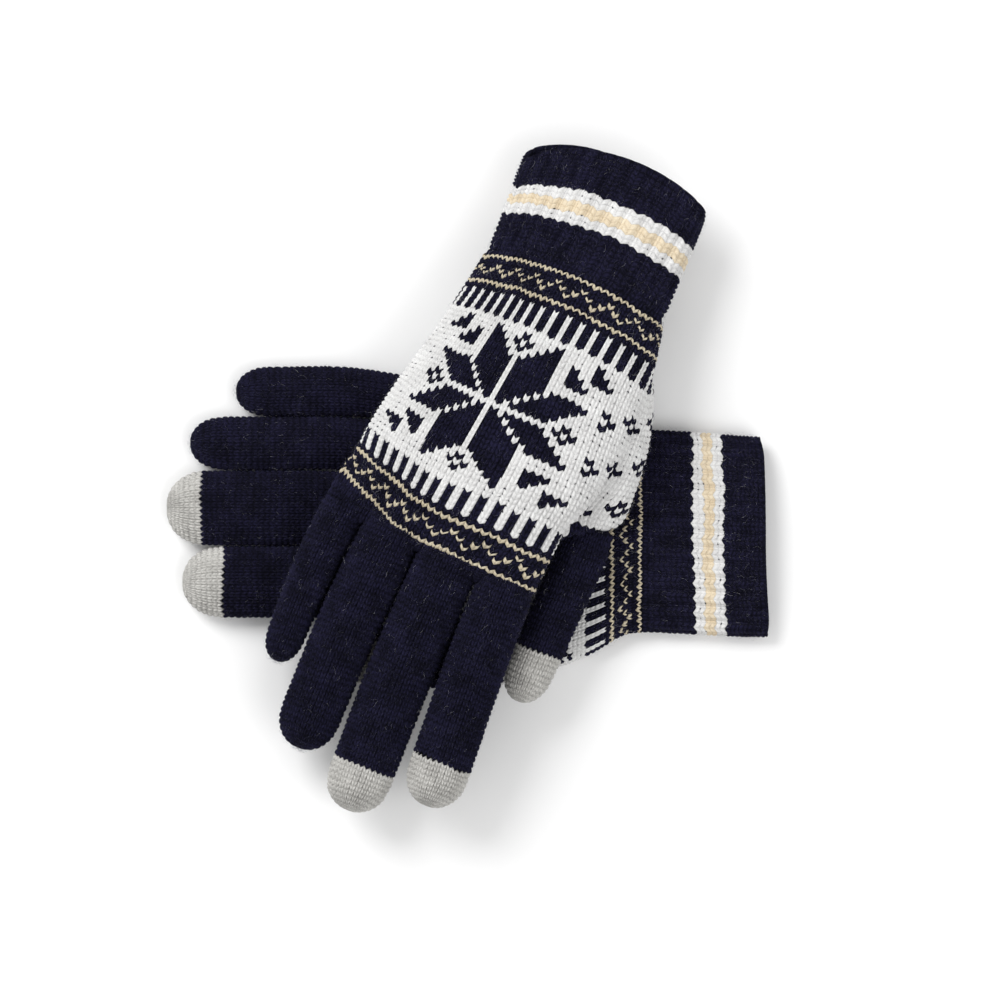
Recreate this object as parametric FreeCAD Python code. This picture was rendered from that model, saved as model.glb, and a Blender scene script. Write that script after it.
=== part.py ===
"""A pair of knitted gloves: the left one lies flat, palm up, and the right one lies across it.

Each glove is drawn in its own frame and then placed.  In that frame u runs from the wrist to the
fingertips, t runs across towards the thumb, and z is up.  u = 0 is the line between cuff and hand.
Lengths are millimetres and angles are degrees.
"""
import FreeCAD, Part
import math
import os
from collections import namedtuple
from FreeCAD import Rotation, Vector

# ---------------------------------------------------------------- driving dimensions
WALL = 2.0               # brushed wool knit
BODY_GAP = 0.4           # between pieces that move against each other
KNUCKLE_PROUD = 0.5      # how far a knuckle's round end passes the finger's half thickness
ELASTIC_WIDTH = 1.6      # one elastic thread band, along the cuff
ELASTIC_THICK = 0.5
ELASTIC_CLEAR = 0.25     # between the band and the inside of the cuff
DOME_ANGLES = (18.0, 35.0, 50.0, 63.0, 74.0, 82.0)
STATION_STEP = 9.0       # between neighbouring cross-sections of a smooth tube
SLIVER = 1.0             # cubic millimetres that a cut may leave loose
REACH = 200.0            # longer than any piece, for cutting tools

LEFT_PLACE = (64.2, -20.7, 180.0)    # x, y of the wrist, and the way the fingers point
RIGHT_PLACE = (38.2, 72.9, 248.0)

FINGER_LIFT = 60.0       # left fingers curl up over the palm
FINGER_FOLD = 45.0       # right fingers fold up over the back
THUMB_SWING = 28.0       # thumbs swing out, flat along the table

# A station is one cross-section: its place along the glove, its two edges across, the height of
# its middle and half of its thickness.
Station = namedtuple("Station", "u low high mid half")

# A stall is a finger or the thumb: its stations, where the hand ends, where it bends, where the
# conductive yarn starts (None where there is none), its end, and how it bends.
Stall = namedtuple("Stall", "name stations root bend yarn end motion limit")

Glove = namedtuple("Glove", "name place roll cuff hand gusset stalls elastic flat_cut arch")


# ---------------------------------------------------------------- left glove, lying flat
FLAT_MID = 5.3
FLAT_HALF = 5.5


def flat(u, low, high):
    return Station(u, low, high, FLAT_MID, FLAT_HALF)


LEFT_CUFF = [flat(-43.9, -36.3, 36.6), flat(-30, -36.6, 36.6), flat(-12, -36.4, 36.3), flat(0, -36.2, 36.0)]
LEFT_HAND = [
    flat(0, -36.2, 36.0),
    flat(20, -40.0, 36.8),
    flat(42, -46.0, 36.0),
    flat(66, -52.5, 32.2),
    flat(88, -57.4, 30.4),
]
LEFT_GUSSET = [
    flat(3, 14.0, 33.0),
    flat(18, 20.5, 43.3),
    flat(34, 27.5, 49.6),
    flat(52, 32.0, 55.6),
    flat(66, 33.2, 56.6),
]
LEFT_STALLS = [
    Stall("little", [flat(88, -57.2, -40.4), flat(106, -60.2, -42.6), flat(136, -60.3, -42.6)],
          88, 105.5, None, 147.2, "curl", FINGER_LIFT),
    Stall("ring", [flat(88, -40.0, -21.6), flat(106, -42.1, -23.2), flat(152, -42.2, -23.2)],
          88, 116.5, None, 163.8, "curl", FINGER_LIFT),
    Stall("middle", [flat(88, -21.2, 4.0), flat(106, -22.7, 4.2), flat(159, -22.7, 4.2)],
          88, 130.5, 160.0, 172.4, "curl", FINGER_LIFT),
    Stall("index", [flat(88, 4.5, 30.2), flat(106, 4.7, 30.4), flat(153, 4.7, 30.4)],
          88, 141.5, 152.0, 166.7, "curl", FINGER_LIFT),
    Stall("thumb", [flat(66, 33.4, 56.4), flat(80, 33.4, 55.8), flat(101, 33.4, 54.4)],
          66, 79.0, 96.0, 112.0, "swing", THUMB_SWING),
]
LEFT_ELASTIC = (-41.5, -22.5, -4.0)

# ---------------------------------------------------------------- right glove, worn full
RIGHT_CUFF = [
    Station(-45.5, -32.3, 36.8, 17.4, 10.0),
    Station(-30.0, -32.4, 36.9, 18.8, 10.4),
    Station(-14.0, -31.8, 36.5, 21.0, 10.4),
    Station(0.0, -31.5, 36.2, 23.2, 10.6),
]
RIGHT_HAND = [
    Station(0.0, -31.5, 36.2, 23.2, 10.6),
    Station(24.0, -35.8, 40.4, 26.6, 11.6),
    Station(44.0, -40.4, 41.0, 28.4, 12.0),
    Station(64.0, -45.4, 39.0, 29.0, 12.0),
    Station(88.0, -49.6, 34.8, 29.2, 11.2),
    Station(108.0, -52.9, 33.2, 28.8, 9.8),
]
RIGHT_GUSSET = [
    Station(8.0, 10.0, 31.0, 24.0, 7.0),
    Station(30.0, 19.0, 43.5, 24.6, 9.0),
    Station(52.0, 25.5, 49.4, 22.4, 8.8),
    Station(72.0, 27.8, 50.6, 19.5, 7.6),
    Station(88.0, 28.4, 50.2, 18.6, 6.9),
]
RIGHT_STALLS = [
    Stall("little", [Station(108, -52.7, -36.7, 24.6, 8.4), Station(122, -53.8, -38.4, 24.4, 8.4),
                     Station(140, -54.3, -39.8, 22.8, 8.2), Station(159, -53.8, -40.2, 20.8, 7.6)],
          108, 120.0, None, 169.2, "curl", FINGER_FOLD),
    Stall("ring", [Station(108, -36.0, -14.6, 26.7, 9.2), Station(122, -37.4, -15.3, 26.6, 9.2),
                   Station(150, -38.9, -16.8, 24.6, 9.0), Station(183, -38.8, -17.2, 21.6, 8.4)],
          108, 120.0, None, 195.2, "curl", FINGER_FOLD),
    Stall("middle", [Station(108, -14.1, 8.8, 28.5, 9.4), Station(122, -14.8, 8.3, 28.4, 9.4),
                     Station(155, -15.6, 7.9, 26.0, 9.2), Station(197, -14.6, 8.2, 21.4, 8.6)],
          108, 120.0, 192.0, 209.4, "curl", FINGER_FOLD),
    Stall("index", [Station(108, 9.3, 33.0, 30.5, 9.2), Station(122, 9.0, 32.6, 30.4, 9.2),
                    Station(150, 9.6, 32.6, 29.8, 9.0), Station(185, 11.4, 33.2, 25.0, 8.4)],
          108, 120.0, 180.0, 197.2, "curl", FINGER_FOLD),
    Stall("thumb", [Station(88, 30.6, 50.0, 18.5, 6.8), Station(104, 31.0, 49.4, 18.3, 6.7),
                    Station(138, 30.6, 47.8, 18.2, 6.5)],
          88, 101.0, 130.0, 150.2, "swing", THUMB_SWING),
]
RIGHT_ELASTIC = (-36.0, -19.0, -4.0)
RIGHT_ROLL = 0.075       # the thumb side of the worn hand lies higher than the little finger side
ARCH_RADIUS = 92.0       # the worn cuff's end bows away from the hand
ARCH_ACROSS = 2.5

GLOVES = [
    Glove("left", LEFT_PLACE, 0.0, LEFT_CUFF, LEFT_HAND, LEFT_GUSSET, LEFT_STALLS, LEFT_ELASTIC, True, False),
    Glove("right", RIGHT_PLACE, RIGHT_ROLL, RIGHT_CUFF, RIGHT_HAND, RIGHT_GUSSET, RIGHT_STALLS, RIGHT_ELASTIC,
          False, True),
]


# ---------------------------------------------------------------- sections and tubes
def oval(station, inset, roll):
    """Return one elliptic cross-section wire, drawn in by inset on every side."""
    middle = (station.low + station.high) / 2
    centre = Vector(station.u, middle, station.mid + roll * middle)
    across = Vector(0, 1, roll).normalize() * ((station.high - station.low) / 2 - inset)
    rise = Vector(0, -roll, 1).normalize() * (station.half - inset)
    if across.Length > rise.Length:
        curve = Part.Ellipse(centre + across, centre + rise, centre)
    else:
        curve = Part.Ellipse(centre + rise, centre - across, centre)
    return Part.Wire(curve.toShape())


def smoothed(stations):
    """Add stations so that the edges and heights run in a smooth curve through the given ones."""
    result = [stations[0]]
    for k in range(len(stations) - 1):
        first, second = stations[k], stations[k + 1]
        before = stations[max(k - 1, 0)]
        after = stations[min(k + 2, len(stations) - 1)]
        span = second.u - first.u
        steps = max(1, round(span / STATION_STEP))
        for step in range(1, steps + 1):
            s = step / steps
            blended = []
            for a, b, c, d in zip(before, first, second, after):
                start = span * (c - a) / (second.u - before.u)
                finish = span * (d - b) / (after.u - first.u)
                blended.append((2 * s**3 - 3 * s**2 + 1) * b + (s**3 - 2 * s**2 + s) * start
                               + (3 * s**2 - 2 * s**3) * c + (s**3 - s**2) * finish)
            result.append(Station(*blended))
    return result


def loft(stations, inset=0.0, roll=0.0):
    """Return the solid through the stations' ovals, straight from each to the next."""
    return Part.makeLoft([oval(s, inset, roll) for s in stations], True, True)


def slide_station(station, du):
    return station._replace(u=station.u + du)


def between(first, second, u):
    """Return the station at u on the straight line between two stations."""
    share = (u - first.u) / (second.u - first.u)
    return Station(*[a + share * (b - a) for a, b in zip(first, second)])


def lengthened(stations):
    """Carry both ends on by 1 mm, so that a cavity runs out through them."""
    return [slide_station(stations[0], -1)] + stations[1:-1] + [slide_station(stations[-1], 1)]


def closed_stations(stations, end, inset):
    """Add the rounded end of a stall, whose outside stops at end."""
    last = stations[-1]
    before = stations[-2]
    dome = end - last.u - inset
    centre = (last.low + last.high) / 2
    half_width = (last.high - last.low) / 2 - inset
    slope = (last.mid - before.mid) / (last.u - before.u)
    result = [s._replace(low=s.low + inset, high=s.high - inset, half=s.half - inset) for s in stations]
    for angle in DOME_ANGLES:
        ahead = dome * math.sin(math.radians(angle))
        size = math.cos(math.radians(angle))
        result.append(Station(last.u + ahead, centre - half_width * size, centre + half_width * size,
                              last.mid + slope * ahead, (last.half - inset) * size))
    return result


def slab(start, end):
    """Return everything between two places along the glove."""
    return Part.makeBox(end - start, 2 * REACH, 2 * REACH, Vector(start, -REACH, -REACH))


def single(shape):
    """Return the shape's one solid without any sliver, and stop if it has more than that."""
    solids = sorted(shape.Solids, key=lambda solid: solid.Volume)
    waste = sum(solid.Volume for solid in solids[:-1])
    if not solids or waste > SLIVER:
        raise ValueError("expected one solid, found " + str([round(v.Volume, 2) for v in solids]))
    return solids[-1]


# ---------------------------------------------------------------- pieces of one glove
def make_cuff(glove):
    stations = smoothed(glove.cuff)
    outside = loft(stations, 0, glove.roll)
    if glove.arch:
        centre = Vector(glove.cuff[0].u + ARCH_RADIUS, ARCH_ACROSS, -REACH)
        outside = outside.common(Part.makeCylinder(ARCH_RADIUS, 2 * REACH, centre))
    return single(outside.cut(loft(lengthened(stations), WALL, glove.roll)))


def cuff_station(glove, u):
    """Return the cuff's cross-section at u."""
    for first, second in zip(glove.cuff, glove.cuff[1:]):
        if u <= second.u:
            return between(first, second, u)
    return glove.cuff[-1]


def make_elastic(glove):
    """Return the elastic bands that lie against the inside of the cuff, one solid each."""
    inset = WALL + ELASTIC_CLEAR
    bands = []
    for start in glove.elastic:
        ends = [cuff_station(glove, start), cuff_station(glove, start + ELASTIC_WIDTH)]
        bands.append(single(loft(ends, inset, glove.roll).cut(loft(lengthened(ends), inset + ELASTIC_THICK,
                                                                    glove.roll))))
    return Part.makeCompound(bands)


def make_hand(glove):
    hand = smoothed(glove.hand)
    gusset = smoothed(glove.gusset)
    outside = loft(hand, 0, glove.roll).fuse(loft(gusset))
    inside = loft(lengthened(hand), WALL, glove.roll).fuse(loft(lengthened(gusset), WALL))
    return single(outside.cut(inside))


def stall_station(stall, u):
    for first, second in zip(stall.stations, stall.stations[1:]):
        if u <= second.u:
            return between(first, second, u)
    return stall.stations[-1]


def knuckle(stall):
    """Return the bend's centre, its radius and its axis in the glove's frame."""
    here = stall_station(stall, stall.bend)
    centre = Vector(stall.bend, (here.low + here.high) / 2, here.mid)
    if stall.motion == "curl":
        return centre, here.half + KNUCKLE_PROUD, Vector(0, -1, 0)
    return centre, (here.high - here.low) / 2 + KNUCKLE_PROUD, Vector(0, 0, 1)


def round_end(centre, radius, axis):
    return Part.makeCylinder(radius, 2 * REACH, centre - axis * REACH, axis)


def make_stall(stall):
    """Return the stall's pieces: base, moving part and, where it has one, conductive tip."""
    stations = smoothed(stall.stations)
    outside = loft(closed_stations(stations, stall.end, 0.0))
    inside_stations = closed_stations(stations, stall.end, WALL)
    inside = loft([slide_station(inside_stations[0], -1)] + inside_stations[1:])
    shell = outside.cut(inside)

    centre, radius, axis = knuckle(stall)
    swept = Part.makeBox(3 * radius, 2 * REACH, 2 * (radius + BODY_GAP),
                         Vector(0, -REACH, -radius - BODY_GAP))
    if stall.motion == "swing":
        swept.rotate(Vector(), Vector(1, 0, 0), 90)
    swept.rotate(Vector(), axis, stall.limit)
    swept.translate(centre)

    base = shell.common(slab(stall.root, stall.bend))
    base = base.cut(round_end(centre, radius + BODY_GAP, axis)).cut(swept)
    stop = stall.yarn if stall.yarn else stall.end + 1
    reach = slab(stall.bend, stop).fuse(round_end(centre, radius, axis))
    pieces = {stall.name + "_base": single(base), stall.name + "_stall": single(shell.common(reach))}
    if stall.yarn:
        pieces[stall.name + "_tip"] = single(shell.common(slab(stall.yarn, stall.end + 1)))
    return pieces


def place(shape, glove):
    """Move a shape from the glove's frame to the pair's."""
    x, y, turn = glove.place
    moved = shape.copy()
    moved.rotate(Vector(), Vector(0, 0, 1), turn)
    moved.translate(Vector(x, y, 0))
    return moved


def place_point(point, glove):
    x, y, turn = glove.place
    return Rotation(Vector(0, 0, 1), turn).multVec(point) + Vector(x, y, 0)


def above_table(shape):
    """Flatten the underside where the glove lies on the table."""
    room = Part.makeBox(2 * REACH, 2 * REACH, REACH, Vector(-REACH, -REACH, 0))
    return single(shape.common(room))


def make_glove(glove):
    pieces = {"cuff": make_cuff(glove), "hand": make_hand(glove)}
    for stall in glove.stalls:
        pieces.update(make_stall(stall))
    if glove.flat_cut:
        pieces = {name: above_table(shape) for name, shape in pieces.items()}
    pieces["cuff_elastic"] = make_elastic(glove)
    return {glove.name + "_" + name: place(shape, glove) for name, shape in pieces.items()}


def make_pair():
    pieces = {}
    for glove in GLOVES:
        pieces.update(make_glove(glove))
    return pieces


PIECES = make_pair()
os.makedirs("parts", exist_ok=True)
for node, shape in PIECES.items():
    if not shape.isValid():
        raise ValueError(node + " is not a valid shape")
    shape.exportStep("parts/" + node + ".step")

whole = Part.makeCompound(list(PIECES.values())).optimalBoundingBox()
print("nodes", len(PIECES))
print("box x %.2f %.2f  y %.2f %.2f  z %.2f %.2f"
      % (whole.XMin, whole.XMax, whole.YMin, whole.YMax, whole.ZMin, whole.ZMax))
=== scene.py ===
"""Looks of the pair of knitted gloves: the knitting is built stitch by stitch on the frame's surfaces.

Each glove is drawn in its own frame, in millimetres: u runs from the wrist to the fingertips, t runs
across towards the thumb, and z is up.  place_points() turns that into the row frame, in metres.
A tube of knitting has wales (columns of stitches, counted by x) and courses (rows, counted by y).
"""
import math

import bpy
import numpy as np
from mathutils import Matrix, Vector
from mathutils.bvhtree import BVHTree


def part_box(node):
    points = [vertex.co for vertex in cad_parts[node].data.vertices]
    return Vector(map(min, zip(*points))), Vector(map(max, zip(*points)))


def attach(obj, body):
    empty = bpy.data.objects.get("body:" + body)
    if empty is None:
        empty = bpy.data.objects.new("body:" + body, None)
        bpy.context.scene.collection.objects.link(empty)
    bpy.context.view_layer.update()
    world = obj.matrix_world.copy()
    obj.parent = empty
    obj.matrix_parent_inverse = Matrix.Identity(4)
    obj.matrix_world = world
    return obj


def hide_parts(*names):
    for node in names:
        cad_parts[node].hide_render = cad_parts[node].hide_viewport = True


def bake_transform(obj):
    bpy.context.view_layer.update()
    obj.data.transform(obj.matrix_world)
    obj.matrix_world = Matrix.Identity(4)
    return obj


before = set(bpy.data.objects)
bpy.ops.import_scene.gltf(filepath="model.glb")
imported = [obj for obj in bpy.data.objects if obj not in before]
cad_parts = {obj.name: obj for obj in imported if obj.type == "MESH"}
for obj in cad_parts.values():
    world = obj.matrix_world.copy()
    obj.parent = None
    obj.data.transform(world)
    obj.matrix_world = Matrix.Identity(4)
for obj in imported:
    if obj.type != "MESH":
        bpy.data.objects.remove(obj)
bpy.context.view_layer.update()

MM = 0.001
PLACES = {"left": (64.2, -20.7, 180.0), "right": (38.2, 72.9, 248.0)}
OVAL_POWER = 2.08
ANGLES = 288                 # samples round a section

# ---------------------------------------------------------------- yarn colours by number
NAVY, WHITE, TAN, BEIGE, GREY = range(5)

# ---------------------------------------------------------------- the knitting
WALES = 72                   # round the hand
FACE = 36                    # on each face
CUFF_WALES = 56              # round the cuff: 28 ribs, one knit and one purl wale each
COLUMN_AT = (0.0, 0.14, 0.30, 0.50, 0.70, 0.86)
COLUMN_HEIGHT = (-0.50, 0.66, 1.0, -0.10, 1.0, 0.66)
ROW_HEIGHT = (0.02, 0.84, 1.0, 0.84)
PER_WALE = len(COLUMN_AT)
PER_ROW = len(ROW_HEIGHT)
LEG_RISE = 0.60              # courses that a leg climbs from its outer end to the middle of the stitch
RELIEF = 0.72                # mm, from the gaps between stitches to their crests
SUNK = 0.45                  # mm that the gaps lie below the frame's surface
WANDER = 0.17                # courses that a line of stitches wanders
SWELL = 0.12                 # share by which stitches differ in height
FULL_RELIEF = 1.9            # mm, the wale width from which the relief is full
PEEPING = 0.22               # share of the white yarn's gaps where navy shows
NAVY_SPREADS = 36            # courses up to which navy spreads over white beside it
CUFF_ROWS = 24
HAND_ROWS = 56
BAND_END = 52                # the course where the second tan band ends


def smoothstep(x):
    x = np.clip(x, 0.0, 1.0)
    return x * x * (3 - 2 * x)


def place_points(points, side):
    """Local millimetres to the row frame's metres."""
    x, y, turn = PLACES[side]
    c, s = math.cos(math.radians(turn)), math.sin(math.radians(turn))
    placed = np.empty_like(points)
    placed[..., 0] = (x + c * points[..., 0] - s * points[..., 1]) * MM
    placed[..., 1] = (y + s * points[..., 0] + c * points[..., 1]) * MM
    placed[..., 2] = points[..., 2] * MM
    return placed


def local_points(points, side):
    """The row frame's metres to local millimetres."""
    x, y, turn = PLACES[side]
    c, s = math.cos(math.radians(turn)), math.sin(math.radians(turn))
    dx, dy = points[:, 0] / MM - x, points[:, 1] / MM - y
    return np.stack([c * dx + s * dy, -s * dx + c * dy, points[:, 2] / MM], axis=1)


def new_object(name, mesh):
    ob = bpy.data.objects.new(name, mesh)
    bpy.context.scene.collection.objects.link(ob)
    return ob


def node_mesh(names, side):
    """Vertices in the glove's frame, triangles and edges of these nodes together."""
    verts, tris, edges, count = [], [], [], 0
    for name in names:
        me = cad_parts[name].data
        co = np.empty(len(me.vertices) * 3)
        me.vertices.foreach_get("co", co)
        me.calc_loop_triangles()
        tri = np.empty(len(me.loop_triangles) * 3, np.int64)
        me.loop_triangles.foreach_get("vertices", tri)
        edge = np.empty(len(me.edges) * 2, np.int64)
        me.edges.foreach_get("vertices", edge)
        verts.append(local_points(co.reshape(-1, 3), side))
        tris.append(tri.reshape(-1, 3) + count)
        edges.append(edge.reshape(-1, 2) + count)
        count += len(me.vertices)
    return np.concatenate(verts), np.concatenate(tris), np.concatenate(edges)


def section_box(verts, edges, u, roll=0.0):
    """Lowest and highest t, and z without the roll, where the mesh crosses the plane at u."""
    a, b = verts[edges[:, 0]], verts[edges[:, 1]]
    crossing = (a[:, 0] - u) * (b[:, 0] - u) < 0
    a, b = a[crossing], b[crossing]
    if len(a) < 8:
        return None
    share = ((u - a[:, 0]) / (b[:, 0] - a[:, 0]))[:, None]
    p = a + share * (b - a)
    z = p[:, 2] - roll * p[:, 1]
    return p[:, 1].min(), p[:, 1].max(), z.min(), z.max()


def gaussian(values, sigma, axis, periodic):
    """Smooth an array along one axis; sigma is in samples."""
    reach = int(math.ceil(3 * sigma))
    weights = np.exp(-0.5 * (np.arange(-reach, reach + 1) / sigma) ** 2)
    weights /= weights.sum()
    moved = np.moveaxis(values, axis, 0)
    if periodic:
        padded = np.concatenate([moved[-reach:], moved, moved[:reach]])
    else:
        before = 2 * moved[:1] - moved[1:reach + 1][::-1]
        after = 2 * moved[-1:] - moved[-reach - 1:-1][::-1]
        padded = np.concatenate([before, moved, after])
    total = sum(w * padded[k:k + len(moved)] for k, w in enumerate(weights))
    return np.moveaxis(total, 0, axis)


class Tube:
    """A smooth tube: rings at places v along it, with points at even steps of x round each ring."""

    def __init__(self, places, rings, wales):
        self.places = np.asarray(places, float)
        self.rings = rings
        self.wales = wales
        along = np.gradient(rings, self.places, axis=0)
        around = (np.roll(rings, -1, axis=1) - np.roll(rings, 1, axis=1)) * (rings.shape[1] / wales / 2)
        normal = np.cross(along, around)
        self.normals = normal / np.maximum(np.linalg.norm(normal, axis=2, keepdims=True), 1e-9)
        self.widths = np.linalg.norm(around, axis=2, keepdims=True)

    def read(self, table, v, x):
        n, m = table.shape[:2]
        i = np.interp(v, self.places, np.arange(n))
        j = np.mod(x / self.wales * m, m)
        i0 = np.minimum(i.astype(int), n - 2)
        j0 = j.astype(int) % m
        fi, fj = (i - i0)[..., None], (j - np.floor(j))[..., None]
        j1 = (j0 + 1) % m
        near = table[i0, j0] * (1 - fj) + table[i0, j1] * fj
        far = table[i0 + 1, j0] * (1 - fj) + table[i0 + 1, j1] * fj
        return near * (1 - fi) + far * fi

    def point(self, v, x):
        return self.read(self.rings, v, x)

    def normal(self, v, x):
        n = self.read(self.normals, v, x)
        return n / np.maximum(np.linalg.norm(n, axis=-1, keepdims=True), 1e-9)

    def width(self, v, x):
        return self.read(self.widths, v, x)[..., 0]


def turn_angles():
    """From the little finger's edge over the top to the thumb's edge, and back underneath."""
    return math.pi - 2 * math.pi * np.arange(ANGLES) / ANGLES


def even_round(outline, samples, knots):
    """Points along a closed outline at even steps of x.

    outline starts at the little finger's edge.  knots gives rising pairs: x, and there either a share
    of the way round or a function that reads a length from the outline's own lengths.
    """
    closed = np.concatenate([outline, outline[:1]])
    arc = np.concatenate([[0], np.cumsum(np.linalg.norm(np.diff(closed, axis=0), axis=1))])
    wales = knots[-1][0]
    x = np.arange(samples) * wales / samples
    marks = [k[1](arc) if callable(k[1]) else k[1] * arc[-1] for k in knots]
    steps = np.interp(np.append(x, wales), [k[0] for k in knots], marks)
    slopes = gaussian(np.diff(steps), samples / wales * 2.5, 0, True)
    smooth = np.concatenate([[0], np.cumsum(slopes)])
    smooth *= arc[-1] / smooth[-1]
    middle = len(x) // 4
    smooth = smooth[:-1] + (steps[middle] - smooth[middle])
    where = np.mod(smooth, arc[-1])
    return np.stack([np.interp(where, arc, closed[:, c]) for c in range(closed.shape[1])], axis=1)


# ---------------------------------------------------------------- the hand and cuff of one glove
HANDS = {
    # first: the first clean ring.  gusset: between these, rings would catch the thumb.  end: where the
    # fingers start.  last: where the skin ends, at the little finger and at the thumb's side.
    # roll: the slope across.  star: t of the star's middle.  spacing: a wale's width, wrist and knuckles.
    "left": dict(first=-43.0, gusset=(59.0, 68.5), end=88.0, last=(89.6, 89.6), roll=0.0, star=None),
    "right": dict(first=-38.0, gusset=(80.0, 92.0), end=108.0, last=(109.4, 115.8), roll=0.075,
                  star=lambda u: -9.0 - 0.133 * (u - 40.0), spacing=(2.75, 3.25)),
}
FINGERS = ("little", "ring", "middle", "index")
VALLEY = 0.60                # how far in the skin goes between two fingers
RING_STEP = 1.0
LEAN = 1.2                   # mm that the left cuff's end leans towards the thumb
NARROWED = 2.8               # mm that the right hand's skin is drawn in beside the index finger
WRIST_OUT = 1.5              # mm that the left wrist stands out on the other side


def cast_outline(tree, u, centre, half):
    """The outer outline in the plane at u, seen from a centre point."""
    reach = 3.0
    outline = np.full((ANGLES, 2), np.nan)
    for k, angle in enumerate(turn_angles()):
        ray = Vector((0, half[0] * math.cos(angle), half[1] * math.sin(angle)))
        start = Vector((u, centre[0], centre[1])) + ray * reach
        hit = tree.ray_cast(start, -ray.normalized(), ray.length * (reach + 0.2))[0]
        if hit is not None:
            outline[k] = (hit.y, hit.z)
    bad = np.isnan(outline[:, 0])
    if bad.all():
        return None
    index = np.arange(ANGLES)
    for c in range(2):
        outline[bad, c] = np.interp(index[bad], index[~bad], outline[~bad, c], period=ANGLES)
    return outline


def hand_tube(side):
    """The skin of a cuff and its hand, as one tube whose places are u."""
    facts = HANDS[side]
    verts, tris, edges = node_mesh([side + "_cuff", side + "_hand"], side)
    tree = BVHTree.FromPolygons(verts.tolist(), tris.tolist())
    roll = facts["roll"]

    def cast(u, shape):
        low, high, bottom, top = section_box(verts, edges, u, roll)
        centre = ((low + high) / 2, (bottom + top) / 2 + roll * (low + high) / 2)
        return cast_outline(shape, u, centre, ((high - low) / 2, (top - bottom) / 2))

    clean = [u for u in np.arange(facts["first"], facts["end"] - 0.5, 2.0)
             if abs(u) > 0.3 and not facts["gusset"][0] < u < facts["gusset"][1]]
    clean.append(facts["end"] - 0.5)
    outlines = np.array([cast(u, tree) for u in clean])
    places = np.arange(-46.0, max(facts["last"]) + 2.01, RING_STEP)
    rings = np.empty((len(places), ANGLES, 2))
    slope = (outlines[3] - outlines[0]) / (clean[3] - clean[0])
    tail = (outlines[-1] - outlines[-4]) / (clean[-1] - clean[-4])
    for k in range(ANGLES):
        for c in range(2):
            rings[:, k, c] = np.interp(places, clean, outlines[:, k, c])
    for i, u in enumerate(places):
        if u < clean[0]:
            rings[i] = outlines[0] + slope * (u - clean[0])
        if u > clean[-1]:
            rings[i] = outlines[-1] + tail * min(u - clean[-1], 2.0)
    if side == "left":
        out = np.exp(-(places / 25.0) ** 2)[:, None] * np.clip(-rings[:, :, 0] / 36.0, 0, 2) ** 2
        rings[:, :, 0] += LEAN * smoothstep(-places / 44.0)[:, None] - WRIST_OUT * out
    rings = gaussian(rings, 2.2, 1, True)
    rings = gaussian(rings, 3.0, 0, False)

    # grooves between the fingers' roots
    bases = [side + "_" + f + "_base" for f in FINGERS]
    base_verts, base_tris, _ = node_mesh(bases, side)
    base_tree = BVHTree.FromPolygons(base_verts.tolist(), base_tris.tolist())
    hand_outline = outlines[-1]
    middle = hand_outline.mean(axis=0)
    spread = (np.ptp(hand_outline[:, 0]) / 2, np.ptp(hand_outline[:, 1]) / 2)
    union = cast_outline(base_tree, facts["end"] + 0.5, middle, spread)
    ratio = np.linalg.norm(union - middle, axis=1) / np.linalg.norm(hand_outline - middle, axis=1)
    ratio = gaussian(np.clip(ratio, VALLEY, 1.05), 1.3, 0, True)
    for i, u in enumerate(places):
        share = smoothstep((u - facts["end"] + 14.0) / 16.0)
        scale = 1 + share * (ratio[:, None] - 1)
        rings[i] = middle + (rings[i] - middle) * scale if share > 0 else rings[i]

    if side == "right":
        narrower = NARROWED * smoothstep((places - 74.0) / 16.0)[:, None]
        rings[:, :, 0] -= narrower * smoothstep((rings[:, :, 0] - 5.0) / 28.0)

    solid = []
    for u, ring in zip(places, rings):
        outline = np.column_stack([np.full(ANGLES, u), ring])
        if facts["star"]:
            top = outline[:ANGLES // 2 + 1]
            column = float(np.interp(facts["star"](u), top[:, 1], np.arange(len(top))))
            steps = np.linalg.norm(np.diff(top, axis=0), axis=1)
            star_arc = float(np.interp(column, np.arange(len(steps) + 1), np.append(0, np.cumsum(steps))))
            beside = steps.sum() - star_arc
            spacing = facts["spacing"][0] + (facts["spacing"][1] - facts["spacing"][0]) * float(
                smoothstep((u - 25.0) / 60.0))
            edge = float(np.clip(16.5 + beside / spacing, 31.0, 43.0))
            knots = [(0, 0.0), (16.5, lambda arc, a=star_arc: a), (edge, lambda arc: arc[ANGLES // 2]),
                     (WALES, 1.0)]
        else:
            knots = [(0, 0.0), (FACE, lambda arc: arc[ANGLES // 2]), (WALES, 1.0)]
        solid.append(even_round(outline, ANGLES * 2, knots))
    return Tube(places, np.array(solid), WALES)


def sideways(x):
    """-1 at the little finger's edge and 1 at the thumb's, the same above and below."""
    x = np.mod(x, WALES)
    return np.where(x < FACE, 2 * x / FACE - 1, 3 - 2 * x / FACE)


COURSE_AT = {
    # course numbers and their u in the middle of the glove
    "right": ([-24, -15, -9, 0, 7, 8, 12, 13, 38, 40, 44, 45, 52],
              [-44.6, -29.2, -17.0, 0.4, 13.0, 15.0, 24.0, 26.2, 81.6, 86.2, 94.8, 96.4, 109.8]),
    "left": ([-24, -15, -9, 0, 7, 8, 12, 38, 40, 44, 52],
             [-43.0, -29.2, -18.2, 0.2, 12.0, 13.6, 21.0, 62.0, 65.0, 71.0, 83.0]),
}
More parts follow.
